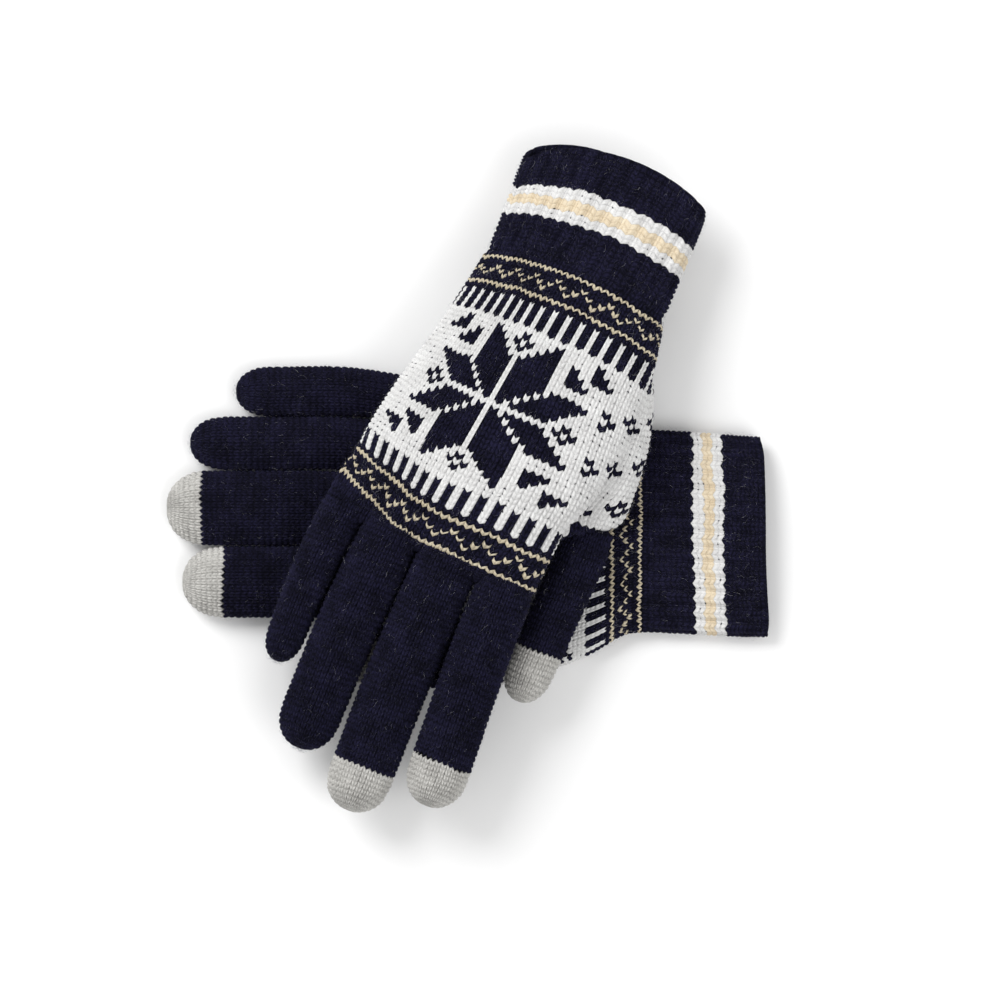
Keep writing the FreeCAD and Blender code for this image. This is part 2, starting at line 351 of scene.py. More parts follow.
# mm that a course line is bowed towards the fingers at the little finger's edge and at the thumb's
WRIST_BOW = {"right": (4.7, 7.6), "left": (0.0, 0.0)}
END_BOW = {"right": (7.2, 7.2), "left": (0.8, -2.0)}
TIP_BOW = {"right": (5.0, 8.6), "left": (0.0, 0.0)}
CORNER = {"right": 4.0, "left": 2.5}         # mm, rounding of the cuff's two end corners
KNUCKLE_SLANT = {"right": (-14.0, 1.8), "left": (-3.0, 0.0)}


def hand_end(side, x):
    """u where the hand's skin ends."""
    first, last = HANDS[side]["last"]
    return first + (last - first) * smoothstep(sideways(x) * 0.5 + 0.5)


def course_place(side, y, x):
    """u of course line y at wale x."""
    numbers, places = COURSE_AT[side]
    tau = sideways(x)
    low, high = WRIST_BOW[side]
    wrist = np.where(tau < 0, low, high) * np.abs(tau) ** 2.2
    low, high = END_BOW[side]
    end = np.where(tau < 0, low, high) * np.abs(tau) ** 2.0
    low, high = KNUCKLE_SLANT[side]
    knuckles = np.where(tau < 0, low, high) * np.abs(tau) ** 1.3
    middle = np.interp(y, numbers, places)
    share = np.clip(middle / places[-1], 0, 1)
    outward = np.clip(-y / CUFF_ROWS, 0, 1)
    corner = np.clip((np.abs(tau) - 0.74) / 0.26, 0, 0.8)
    low, high = TIP_BOW[side]
    drawn_in = np.where(tau < 0, low, high) * np.minimum(np.abs(tau), 0.9) ** 2
    drawn_in = drawn_in + CORNER[side] * (1 - np.sqrt(1 - corner ** 2))
    end = end + drawn_in * outward ** 2
    over_cuff = wrist * (1 - outward) + end * outward
    over_hand = wrist * (1 - share) + knuckles * share ** 1.5
    u = middle + np.where(y < 0, over_cuff, over_hand)
    last = hand_end(side, x)
    band_end = places[-1] + knuckles
    spare = np.clip((y - BAND_END) / (HAND_ROWS - BAND_END), 0, 1.2)
    return np.where(y > BAND_END, band_end + (last - band_end) * spare, u)


# ---------------------------------------------------------------- the charts
def star_stitch(c, r):
    """True where the eight-petalled star and its leaves are navy; c and r count from its middle."""
    c, r = abs(c), abs(r)
    petals = (1 <= c <= 5 and c <= r <= c + 7) or (1 <= r <= 5 and r + 2 <= c <= r + 6)
    flowers = (c, r) in ((0, 12), (1, 11), (0, 10), (10, 1), (9, 0), (11, 0))
    inner = {8: (8, 10), 9: (8, 9), 10: (8, 8)}
    outer = {11: (10, 12), 12: (10, 11), 13: (10, 10)}
    leaf = any(c in part and part[c][0] <= r <= part[c][1] for part in (inner, outer))
    return petals or flowers or leaf


def side_flower(c, r):
    """The small four-stitch flowers beside the star and over the palm."""
    for centre_column in range(14, 55, 4):
        middle = 3 - (centre_column - 14) // 2
        along = (r - middle + 4) % 8 - 4
        if abs(c - centre_column) + abs(along) == 1 and abs(r - along) <= 9:
            return True
    return False


def band(row, wale):
    """Seven courses: a tan line, a zigzag and another tan line."""
    if row in (0, 6):
        return TAN
    zigzag = (2, 3, 4, 3)[wale % 4]
    return TAN if row == zigzag else NAVY


STAR_WALE = {"right": 16, "left": 52}        # the back shows on the right glove, the palm on the left


def hand_chart(star_wale):
    chart = np.full((HAND_ROWS, WALES), NAVY)
    for w in range(WALES):
        c = (w - star_wale + 17) % WALES - 17
        for y in range(HAND_ROWS):
            if y < 7:
                chart[y, w] = band(y, w)
            elif 8 <= y < 12 or 40 <= y < 44:
                chart[y, w] = NAVY if c % 2 else WHITE
            elif 12 <= y < 40:
                r = y - 25
                navy = star_stitch(c, r) if abs(c) <= 13 else (abs(r) <= 12 and side_flower(c, r))
                chart[y, w] = NAVY if navy else WHITE
            elif 45 <= y < BAND_END:
                chart[y, w] = band(y - 45, w)
            if 37 <= y < 45 and 34 <= w <= 44:      # beside the thumb's root
                chart[y, w] = NAVY
    return chart


def cuff_chart():
    """Row 0 is at the cuff's end; the last row goes under the hand's first one."""
    chart = np.full((CUFF_ROWS + 1, CUFF_WALES), NAVY)
    chart[9:15] = WHITE
    chart[11:13] = BEIGE
    return chart


# ---------------------------------------------------------------- meshes
TUCK = 1.0                   # mm that the hand's last courses and a finger's first ones are drawn in
OVERLAP = 5.0                # mm over which the hand's skin gives way to the fingers'
RIB_OUT = 0.25               # mm that a knit wale of the ribs stands out
RIB_IN = 0.85                # mm that a purl wale lies in
RIB_SQUEEZE = 0.38           # share of a purl wale's width that its knit neighbour takes


def random_field(rng, rows, wales, size):
    """A smooth random field, read at (y, x), that closes round the tube."""
    table = rng.standard_normal((int(rows / size) + 3, max(4, int(wales / size))))

    def read(y, x):
        i = np.clip(y / size, 0, table.shape[0] - 2.001)
        j = np.mod(x / wales * table.shape[1], table.shape[1])
        i0, j0 = i.astype(int), j.astype(int) % table.shape[1]
        fi, fj = smoothstep(i - i0), smoothstep(j - np.floor(j))
        j1 = (j0 + 1) % table.shape[1]
        return ((table[i0, j0] * (1 - fj) + table[i0, j1] * fj) * (1 - fi)
                + (table[i0 + 1, j0] * (1 - fj) + table[i0 + 1, j1] * fj) * fi)

    return read


class Skin:
    """Rows of vertices round a tube, with a material and a yarn coordinate for each face."""

    def __init__(self, columns):
        self.columns = columns
        self.rows = []
        self.colours = []
        self.yarn = []

    def add(self, row):
        self.rows.append(row)

    def build(self, name, side, materials, close_start=False, close_end=False):
        n, m = len(self.rows), self.columns
        points = place_points(np.concatenate(self.rows), side)
        points[:, 2] = np.maximum(points[:, 2], 0.02 * MM)
        i, j = np.meshgrid(np.arange(n - 1), np.arange(m), indexing="ij")
        k = (j + 1) % m
        quads = np.stack([i * m + j, (i + 1) * m + j, (i + 1) * m + k, i * m + k], axis=2).reshape(-1, 4)
        faces = quads.tolist()
        extra = []
        if close_start:
            points = np.concatenate([points, points[:m].mean(axis=0)[None]])
            extra += [(len(points) - 1, a, (a + 1) % m) for a in range(m)]
        if close_end:
            last = (n - 1) * m
            points = np.concatenate([points, points[last:last + m].mean(axis=0)[None]])
            extra += [(len(points) - 1, last + (a + 1) % m, last + a) for a in range(m)]
        me = bpy.data.meshes.new(name)
        me.from_pydata(points.tolist(), [], faces + extra)
        colours = np.concatenate(self.colours).ravel()
        colours = np.concatenate([colours, np.full(len(extra), colours[-1])])
        used = sorted(set(colours.tolist()))
        for c in used:
            me.materials.append(materials[c])
        remap = {c: q for q, c in enumerate(used)}
        me.polygons.foreach_set("material_index", [remap[c] for c in colours.tolist()])
        me.polygons.foreach_set("use_smooth", [True] * len(colours))
        yarn = np.concatenate(self.yarn).reshape(-1, 3)
        yarn = np.concatenate([yarn, np.zeros((3 * len(extra), 3))]).astype(np.float32)
        attribute = me.attributes.new("yarn", "FLOAT_VECTOR", "CORNER")
        attribute.data.foreach_set("vector", yarn.ravel())
        me.validate()
        me.update()
        return new_object(name, me)


def yarn_corners(cell_rows, wales, rng):
    """For each face, the four corners' (along the leg, across it, which leg) in its own stitch."""
    at = np.array(COLUMN_AT + (1.0,))
    j = np.arange(wales * PER_WALE)
    f0, f1 = at[j % PER_WALE], at[j % PER_WALE + 1]
    leg = (j % PER_WALE >= PER_WALE // 2).astype(float)
    lots = rng.random((len(cell_rows) // PER_ROW + 2, wales))
    out = np.empty((len(cell_rows), len(j), 4, 3))
    for i, cell in enumerate(cell_rows):
        g0 = (cell % PER_ROW) / PER_ROW
        g1 = g0 + 1 / PER_ROW
        for q, (f, g) in enumerate(((f0, g0), (f0, g1), (f1, g1), (f1, g0))):
            out[i, :, q, 0] = np.abs(f - 0.5) * 2
            out[i, :, q, 1] = g
        out[i, :, :, 2] = (lots[i // PER_ROW][j // PER_WALE] * 20 + leg * 3)[:, None]
    return out


def stitch_columns(wales):
    j = np.arange(wales * PER_WALE)
    return j // PER_WALE, np.array(COLUMN_AT)[j % PER_WALE], np.array(COLUMN_HEIGHT)[j % PER_WALE]


def knit_rows(skin, tube, wales, first, last, place, chart, rng,
              ribs=None, fade=None, sunk=SUNK, sink=None):
    """Add the courses from first to last to a skin, and return v round the last row.

    place(y, x) gives v.  ribs(y) is how far the ribs stand out, fade(y) is how far the course
    lines follow the stitches, sink(v, x) is how far in the surface goes.
    """
    wale, f, height = stitch_columns(wales)
    rise = LEG_RISE * (1 - np.abs(2 * f - 1))
    wander = random_field(rng, last - first, wales, 2.5)
    swell = random_field(rng, last - first, wales, 1.0)
    for i in range((last - first) * PER_ROW + 1):
        y = first + i / PER_ROW
        rib = ribs(y) if ribs else 0.0
        lift = fade(y) if fade else 1.0
        knit_wale = wale % 2 == 0
        own_x = wale + f + rib * RIB_SQUEEZE * np.where(knit_wale, f, 1 - f)
        fy = np.full(len(own_x), y - first)
        along = y + rise * lift * np.where(knit_wale, 1.0, 1 - 0.75 * rib)
        along = along + WANDER * lift * wander(fy, own_x)
        x = own_x * tube.wales / wales
        v = place(along, x)
        width = tube.width(v, x) * tube.wales / wales
        scale = np.clip(width / FULL_RELIEF, 0.1, 1.0) * RELIEF
        bump = scale * np.where(height > 0, height * ROW_HEIGHT[i % PER_ROW], height)
        bump = bump * (1 + SWELL * swell(fy, own_x))
        if rib:
            dip = np.where(knit_wale, RIB_OUT, -RIB_IN) * np.sin(np.pi * f)
            bump = bump * np.where(knit_wale, 1.0, 1 - 0.6 * rib) + rib * dip
        if sink:
            bump = bump - sink(v, x)
        position = tube.point(v, x) + tube.normal(v, x) * (bump - sunk)[:, None]
        skin.add(position)
    faces = np.repeat(np.repeat(chart, PER_ROW, axis=0), PER_WALE, axis=1)
    row_part = np.arange(faces.shape[0])[:, None] % PER_ROW
    column_part = np.arange(faces.shape[1])[None, :] % PER_WALE
    stitch_row = first + np.arange(faces.shape[0])[:, None] // PER_ROW
    plump = np.where(first + np.arange(len(chart)) < 38, 0.35, 0.80)[:, None]
    thick = np.repeat(np.repeat(rng.random(chart.shape) < plump, PER_ROW, axis=0), PER_WALE, axis=1)
    thin = (faces == TAN) & ((row_part == 0) | ((row_part == PER_ROW - 1) & ~thick))
    beside = [np.repeat(np.repeat(np.roll(chart, way, axis=1), PER_ROW, axis=0), PER_WALE, axis=1)
              for way in (1, -1)]
    beside_navy = (column_part == 0) & (beside[0] == NAVY)
    beside_navy |= (column_part == PER_WALE - 1) & (beside[1] == NAVY)
    thin |= (faces == WHITE) & (stitch_row < NAVY_SPREADS) & beside_navy
    gaps = ((column_part == 0) | (column_part == PER_WALE - 1)) & (row_part == 0)
    peeping = (faces == WHITE) & gaps & (rng.random(faces.shape) < PEEPING)
    skin.colours.append(np.where(thin | peeping, NAVY, faces))
    skin.yarn.append(yarn_corners(range((last - first) * PER_ROW), wales, rng))
    return v


def plain_rows(skin, rows, colours):
    """Add rows with no stitches of their own; colours has one entry for each row of faces."""
    for row in rows:
        skin.add(row)
    m = skin.columns
    skin.colours.append(np.tile(np.array(colours)[:, None], (1, m)))
    corners = np.zeros((len(colours), m, 4, 3))
    corners[..., 0] = (np.arange(m)[None, :, None] % PER_WALE) / PER_WALE
    corners[..., 1] = np.array([0, 0.5, 0.5, 0])[None, None, :]
    skin.yarn.append(corners)


HEM = 0.95                   # half of the fabric's thickness at the cuff's rolled end
LINING_END = 14.0            # how far past the wrist the lining goes before it closes
LINING_DEPTH = 1.92          # mm from the outer surface to the lining
LINING_STEP = 1.1            # mm between the lining's rows


def cuff_skin(side, tube, materials, rng):
    """The cuff: its lining from inside the hand, the rolled end and the ribs outside."""
    skin = Skin(CUFF_WALES * PER_WALE)
    wale, f, _ = stitch_columns(CUFF_WALES)
    x = (wale + f + RIB_SQUEEZE * np.where(wale % 2 == 0, f, 1 - f)) * WALES / CUFF_WALES
    colour_at = cuff_chart()
    lining, lining_colours = [], []
    for step in np.linspace(1.0, 0.0, 6)[:-1]:
        v = np.full(len(x), LINING_END - 4.0 + 4.0 * step)
        outer = tube.point(v, x) - tube.normal(v, x) * 1.9
        centre = outer.mean(axis=0)
        flat = outer.copy()
        flat[:, 2] = centre[2] + HANDS[side]["roll"] * (outer[:, 1] - centre[1])
        lining.append(outer + (flat - outer) * 0.96 * smoothstep(step))
        lining_colours.append(NAVY)
    count = int((LINING_END - 4.0 + 44.0) / LINING_STEP)
    for k in range(count + 1):
        y = np.interp(k / count, [0, 0.22, 1], [5.0, 0.0, -CUFF_ROWS])
        v = course_place(side, np.full(len(x), y), x)
        rib = np.where(wale % 2 == 0, -0.05, 0.12) * np.sin(np.pi * f)
        ridge = 0.07 * (k % 2)
        lining.append(tube.point(v, x) - tube.normal(v, x) * (LINING_DEPTH - ridge + rib)[:, None])
        row = int(np.clip(CUFF_ROWS + math.floor(y), 0, CUFF_ROWS - 1)) if y < 0 else 0
        lining_colours.append(colour_at[row, 0])
    plain_rows(skin, lining, lining_colours[1:])

    v = course_place(side, np.full(len(x), -float(CUFF_ROWS)), x)
    edge, normal = tube.point(v, x), tube.normal(v, x)
    hem = []
    for angle in np.radians([150, 120, 90, 60, 30]):
        rib = np.where(wale % 2 == 0, RIB_OUT, -RIB_IN) * np.sin(np.pi * f)
        rib = rib * (0.5 + 0.5 * math.cos(angle)) * 0.8
        out = -HEM + HEM * math.cos(angle) + rib
        hem.append(edge + normal * out[:, None] + np.array([-1.0, 0, 0]) * HEM * math.sin(angle))
    plain_rows(skin, hem, [NAVY] * (len(hem) + 1))
    knit_rows(skin, tube, CUFF_WALES, -CUFF_ROWS, 1, lambda y, xx: course_place(side, y, xx), colour_at,
              rng, ribs=lambda y: float(smoothstep(-y / 2.0)), sink=lambda v, xx: 0.7 * smoothstep(v / 2.0),
              fade=lambda y: float(smoothstep((y + CUFF_ROWS) / 2.0)))
    return skin.build(side + "_cuff_knit", side, materials)


def hand_skin(side, tube, materials, rng):
    skin = Skin(WALES * PER_WALE)
    chart = hand_chart(STAR_WALE[side])
    knit_rows(skin, tube, WALES, 0, HAND_ROWS, lambda y, x: course_place(side, y, x), chart, rng,
              sink=lambda v, x: TUCK * smoothstep((v - hand_end(side, x) + OVERLAP) / OVERLAP))
    last = skin.rows[-1]
    centre = last.mean(axis=0)
    flat = last.copy()
    flat[:, 2] = centre[2] + HANDS[side]["roll"] * (last[:, 1] - centre[1])
    lid = []
    for share, ahead in ((0.06, 0.5), (0.20, 0.9), (0.55, 1.1), (0.96, 1.2)):
        row = last + (flat - last) * share
        row[:, 0] += ahead
        lid.append(row)
    plain_rows(skin, lid, [NAVY] * len(lid))
    return skin.build(side + "_hand_knit", side, materials)


# ---------------------------------------------------------------- fingers
STALLS = {
    # root, bend, where the conductive yarn starts, half of the bending zone, where the hand's skin ends
    "left_little": (88.0, 105.5, None, 7.0, 89.6),
    "left_ring": (88.0, 116.5, None, 7.0, 89.6),
    "left_middle": (88.0, 130.5, 160.0, 7.0, 89.6),
    "left_index": (88.0, 141.5, 152.0, 7.0, 89.6),
    "left_thumb": (66.0, 79.0, 96.0, 9.0, 67.0),
    "right_little": (108.0, 120.0, None, 8.0, 110.0),
    "right_ring": (108.0, 120.0, None, 7.5, 112.2),
    "right_middle": (108.0, 120.0, 192.0, 7.0, 114.0),
    "right_index": (108.0, 120.0, 180.0, 6.5, 117.5),
    "right_thumb": (88.0, 101.0, 130.0, 9.0, 88.0),
}
WALE_WIDTH = 2.35            # mm, a wale of a finger
STALL_SUNK = 0.38            # the fingers' knitting stands a little prouder, so they nearly touch
COURSE = 2.15                # mm, a course of a finger
TIP_COURSE = 0.92            # of COURSE, in the conductive yarn
ROUNDED = 14.0               # mm, length of a finger's rounded end
HIDDEN_INSET = 2.6           # mm more that a finger's root is drawn in, under the hand's skin
TIP_PROUD = {"left": 1.2, "right": 0.5}     # mm that the rounded ends reach past the frame
INDEX_AT = (105.0, 122.0, 150.0, 185.0)
INDEX_NARROWED = (3.0, 2.4, 1.3, 0.0)     # mm that the right index finger is narrower there


def stall_sections(name, side):
    """Edges, middle height and half thickness along a finger, measured on the frame."""
    root, bend, yarn, _, _ = STALLS[name]
    nodes = [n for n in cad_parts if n.startswith(name + "_") and not n.endswith("elastic")]
    verts, _, edges = node_mesh(sorted(nodes), side)
    end = verts[:, 0].max()
    first = section_box(verts, edges, root + 0.3)
    reach = (first[3] - first[2]) / 2 + 1.2
    if "thumb" in name:
        reach = (first[1] - first[0]) / 2 + 1.2
    wanted = [root + 0.3, max(root + 0.6, bend - reach - 0.4)]
    wanted += list(np.arange(bend + 0.8, end - ROUNDED, 3.0))
    near = end - ROUNDED
    wanted += [near + ROUNDED * math.sin(a) for a in np.linspace(0.05, math.pi / 2, 26)[:-1]]
    if yarn:
        wanted = [u for u in wanted if abs(u - yarn) > 0.05]
    table = []
    for u in sorted(wanted):
        box = section_box(verts, edges, u)
        if box:
            table.append((u, (box[0] + box[1]) / 2, (box[1] - box[0]) / 2, (box[2] + box[3]) / 2,
                          (box[3] - box[2]) / 2))
    table.append((end - 0.02, table[-1][1], 0.15, table[-1][3], 0.15))
    return np.array(table)


def stall_tube(name, side):
    """A finger's skin: places are lengths along its surface, so the rounded end has its full length."""
    root, bend, _, _, skin_end = STALLS[name]
    table = stall_sections(name, side)
    start = root - (2.5 if "thumb" not in name else 6.0)
    end = table[-1, 0]
    us = np.concatenate([np.arange(start, end - ROUNDED, 1.0),
                         end - ROUNDED + ROUNDED * np.sin(np.linspace(0, math.pi / 2, 48))])
    rows = np.stack([np.interp(us, table[:, 0], table[:, c]) for c in range(1, 5)], axis=1)
    smooth_to = np.argmax(us > end - ROUNDED)
    rows[:smooth_to] = gaussian(rows, 2.5, 0, False)[:smooth_to]
    if "thumb" in name:
        inset = TUCK * (1 - smoothstep((us - skin_end) / 4.0))
    else:
        hidden = skin_end - OVERLAP - us
        inset = TUCK * (1 - smoothstep(-hidden / OVERLAP)) + HIDDEN_INSET * smoothstep((hidden + 0.6) / 4.0)
    rows[:, 1] -= inset
    rows[:, 3] -= inset
    if name == "right_index":
        narrower = np.interp(us, INDEX_AT, INDEX_NARROWED) / 2
        rows[:, 0] -= narrower
        rows[:, 1] -= narrower
    narrowing = 0.5 * (np.diff(rows[:, 1]) + np.diff(rows[:, 3]))
    length = np.concatenate([[0], np.cumsum(np.hypot(np.diff(us), narrowing))])
    angle = turn_angles()
    power = 2 / OVAL_POWER
    across = np.sign(np.cos(angle)) * np.abs(np.cos(angle)) ** power
    rise = np.sign(np.sin(angle)) * np.abs(np.sin(angle)) ** power
    round_at = int(np.argmin(np.abs(us - (bend + 5.0))))
    width, thick = rows[round_at, 1], rows[round_at, 3]
    perimeter = math.pi * (3 * (width + thick) - math.sqrt((3 * width + thick) * (width + 3 * thick)))
    wales = 2 * int(round(perimeter * 1.03 / WALE_WIDTH / 2))
    stretched = us + TIP_PROUD[side] * smoothstep((us - end + ROUNDED) / ROUNDED)
    rings = []
    for u, (middle, half_width, height, half) in zip(stretched, rows):
        outline = np.column_stack([np.full(ANGLES, u), middle + half_width * across, height + half * rise])
        closed = np.concatenate([outline, outline[:1]])
        arc = np.concatenate([[0], np.cumsum(np.linalg.norm(np.diff(closed, axis=0), axis=1))])
        where = np.arange(ANGLES) / ANGLES * arc[-1]
        rings.append(np.stack([np.interp(where, arc, closed[:, c]) for c in range(3)], axis=1))
    return Tube(length, np.array(rings), wales), us, length


def stall_skins(name, side, materials, rng):
    """The navy part and, where there is one, the conductive end; their tube, and where the navy ends."""
    yarn = STALLS[name][2]
    tube, us, length = stall_tube(name, side)
    total = length[-1]
    yarn_at = float(np.interp(yarn, us, length)) if yarn else total
    navy_rows = int(round(yarn_at / COURSE))
    tip_rows = int(math.ceil((total - yarn_at) / (COURSE * TIP_COURSE))) if yarn else 0

    def place(y, x):
        return np.interp(y, [0, navy_rows, navy_rows + max(tip_rows, 1)], [0, yarn_at, total])

    skin = Skin(tube.wales * PER_WALE)
    chart = np.full((navy_rows, tube.wales), NAVY)
    navy_end = knit_rows(skin, tube, tube.wales, 0, navy_rows, place, chart, rng, sunk=STALL_SUNK).max()
    knit = skin.build(name + "_knit", side, materials, True, not yarn)
    tip_knit = None
    if yarn:
        tip = Skin(tube.wales * PER_WALE)
        chart = np.full((tip_rows, tube.wales), GREY)
        knit_rows(tip, tube, tube.wales, navy_rows, navy_rows + tip_rows, place, chart, rng,
                  sunk=STALL_SUNK)
        tip_knit = tip.build(name + "_tip_knit", side, materials, False, True)
    return knit, tip_knit, tube, navy_end


# ---------------------------------------------------------------- materials
LOOSE_SHARE = 0.55           # of the yarn's pattern that is loose fibres and not fibres along the leg
GAP_SHADE = -0.17            # painted shade: how much darker the yarn's colour is made where two stitches meet, standing in for the shade in the gaps between them


def noise_node(tree, vector, scale, detail=2.0, roughness=0.5, distortion=0.0):
    node = tree.nodes.new("ShaderNodeTexNoise")
    node.inputs["Scale"].default_value = scale
    node.inputs["Detail"].default_value = detail
    node.inputs["Roughness"].default_value = roughness
    node.inputs["Distortion"].default_value = distortion
    tree.links.new(vector, node.inputs["Vector"])
    return node.outputs["Fac"]


def math_node(tree, operation, *values):
    """A Math node; each value is a number or another node's output."""
    node = tree.nodes.new("ShaderNodeMath")
    node.operation = operation
    for socket, value in zip(node.inputs, values):
        if isinstance(value, float):
            socket.default_value = value
        else:
            tree.links.new(value, socket)
    return node.outputs[0]


def yarn_material(name, dark, light, sheen_tint, sheen=0.05, fibre_and_gap_shade=0.5):
    """Brushed knitting yarn: fibres lie along each leg of a stitch, with loose ones across.

    The darkest colour, as a share of dark, is used both for the darkest fibres and for the painted shade in
    the gaps between stitches.
    """
    mat = bpy.data.materials.new(name)
    mat.use_nodes = True
    tree = mat.node_tree
    nodes = tree.nodes
    nodes.clear()
    out = nodes.new("ShaderNodeOutputMaterial")
    shader = nodes.new("ShaderNodeBsdfPrincipled")
    tree.links.new(shader.outputs[0], out.inputs["Surface"])
    shader.inputs["Roughness"].default_value = 0.92
    shader.inputs["Specular IOR Level"].default_value = 0.12
    shader.inputs["Sheen Weight"].default_value = sheen
    shader.inputs["Sheen Roughness"].default_value = 0.45
    shader.inputs["Sheen Tint"].default_value = (*sheen_tint, 1)

    yarn = nodes.new("ShaderNodeAttribute")
    yarn.attribute_name = "yarn"
    stretch = nodes.new("ShaderNodeMapping")
    stretch.inputs["Scale"].default_value = (1.6, 9.0, 1.0)
    stretch.inputs["Rotation"].default_value = (0, 0, 0.35)
    tree.links.new(yarn.outputs["Vector"], stretch.inputs["Vector"])
    strands = noise_node(tree, stretch.outputs[0], 1.3, detail=4.0, roughness=0.65)
    where = nodes.new("ShaderNodeTexCoord")
    fibres = noise_node(tree, where.outputs["Object"], 1900.0, detail=3.0, distortion=1.2)
    patches = noise_node(tree, where.outputs["Object"], 160.0, detail=5.0)

    mixed = nodes.new("ShaderNodeMix")
    mixed.data_type = "FLOAT"
    mixed.inputs[0].default_value = LOOSE_SHARE
    tree.links.new(strands, mixed.inputs[2])
    tree.links.new(fibres, mixed.inputs[3])
    tone = math_node(tree, "MULTIPLY_ADD", patches, 0.35, mixed.outputs[0])
    # Painted shade: the colour is darkened towards the edges of each leg and each course, where shade falls
    # between the stitches.
    apart = nodes.new("ShaderNodeSeparateXYZ")
    tree.links.new(yarn.outputs["Vector"], apart.inputs[0])
    edges = []
    for axis, power in (("X", 3.5), ("Y", 3.0)):
        offset = math_node(tree, "MULTIPLY_ADD", apart.outputs[axis], 2.0, -1.0)
        edges.append(math_node(tree, "POWER", math_node(tree, "ABSOLUTE", offset), power))
    gaps = math_node(tree, "MAXIMUM", *edges)
    shaded = math_node(tree, "MULTIPLY_ADD", gaps, GAP_SHADE, tone)
    # The ramp's darkest stop is where the painted gap shade takes the colour.
    ramp = nodes.new("ShaderNodeValToRGB")
    ramp.color_ramp.elements[0].position = 0.30
    ramp.color_ramp.elements[0].color = (*[c * fibre_and_gap_shade for c in dark], 1)
    ramp.color_ramp.elements[1].position = 0.82
    ramp.color_ramp.elements[1].color = (*light, 1)
    middle = ramp.color_ramp.elements.new(0.56)
    middle.color = (*dark, 1)
    tree.links.new(shaded, ramp.inputs["Fac"])
    tree.links.new(ramp.outputs["Color"], shader.inputs["Base Color"])

    relief = nodes.new("ShaderNodeBump")
    relief.inputs["Strength"].default_value = 0.6
    relief.inputs["Distance"].default_value = 0.0004
    tree.links.new(mixed.outputs[0], relief.inputs["Height"])
    tree.links.new(relief.outputs[0], shader.inputs["Normal"])
    return mat


def hair_material(name, colour, roughness=0.7):
    mat = bpy.data.materials.new(name)
    mat.use_nodes = True
    tree = mat.node_tree
    shader = tree.nodes["Principled BSDF"]
    shader.inputs["Roughness"].default_value = roughness
    shader.inputs["Specular IOR Level"].default_value = 0.3
    shader.inputs["Sheen Weight"].default_value = 0.2
    where = tree.nodes.new("ShaderNodeTexCoord")
    noise = noise_node(tree, where.outputs["Object"], 500.0)
    ramp = tree.nodes.new("ShaderNodeValToRGB")
    ramp.color_ramp.elements[0].position = 0.35
    ramp.color_ramp.elements[0].color = (*[c * 0.72 for c in colour], 1)
    ramp.color_ramp.elements[1].position = 0.65
    ramp.color_ramp.elements[1].color = (*[min(1, c * 1.2) for c in colour], 1)
    tree.links.new(noise, ramp.inputs["Fac"])
    tree.links.new(ramp.outputs["Color"], shader.inputs["Base Color"])
    return mat


YARNS = {
    NAVY: yarn_material("navy_wool", (0.0022, 0.0021, 0.0068), (0.0165, 0.0155, 0.0445), (0.35, 0.35, 0.75),
                        0.03),
    WHITE: yarn_material("white_wool", (0.68, 0.675, 0.67), (0.90, 0.90, 0.89), (1, 1, 1)),
    TAN: yarn_material("tan_wool", (0.50, 0.43, 0.31), (0.76, 0.69, 0.53), (1, 0.95, 0.8)),
    BEIGE: yarn_material("beige_wool", (0.70, 0.58, 0.41), (0.90, 0.80, 0.62), (1, 0.95, 0.8)),
    GREY: yarn_material("conductive_yarn", (0.42, 0.41, 0.39), (0.72, 0.71, 0.68), (1, 1, 0.95),
                        fibre_and_gap_shade=0.3),
}


# ---------------------------------------------------------------- loose fibres
FIBRE_STEPS = 3
FIBRE_SIDES = 3
FIBRE_RADIUS = (0.013, 0.026)
FIBRE_LENGTH = (1.0, 3.6)
FIBRE_STAND = 0.9            # how steeply the fibres stand out
PALE_SHARE = 0.07            # of the fibres that stand out of navy knitting


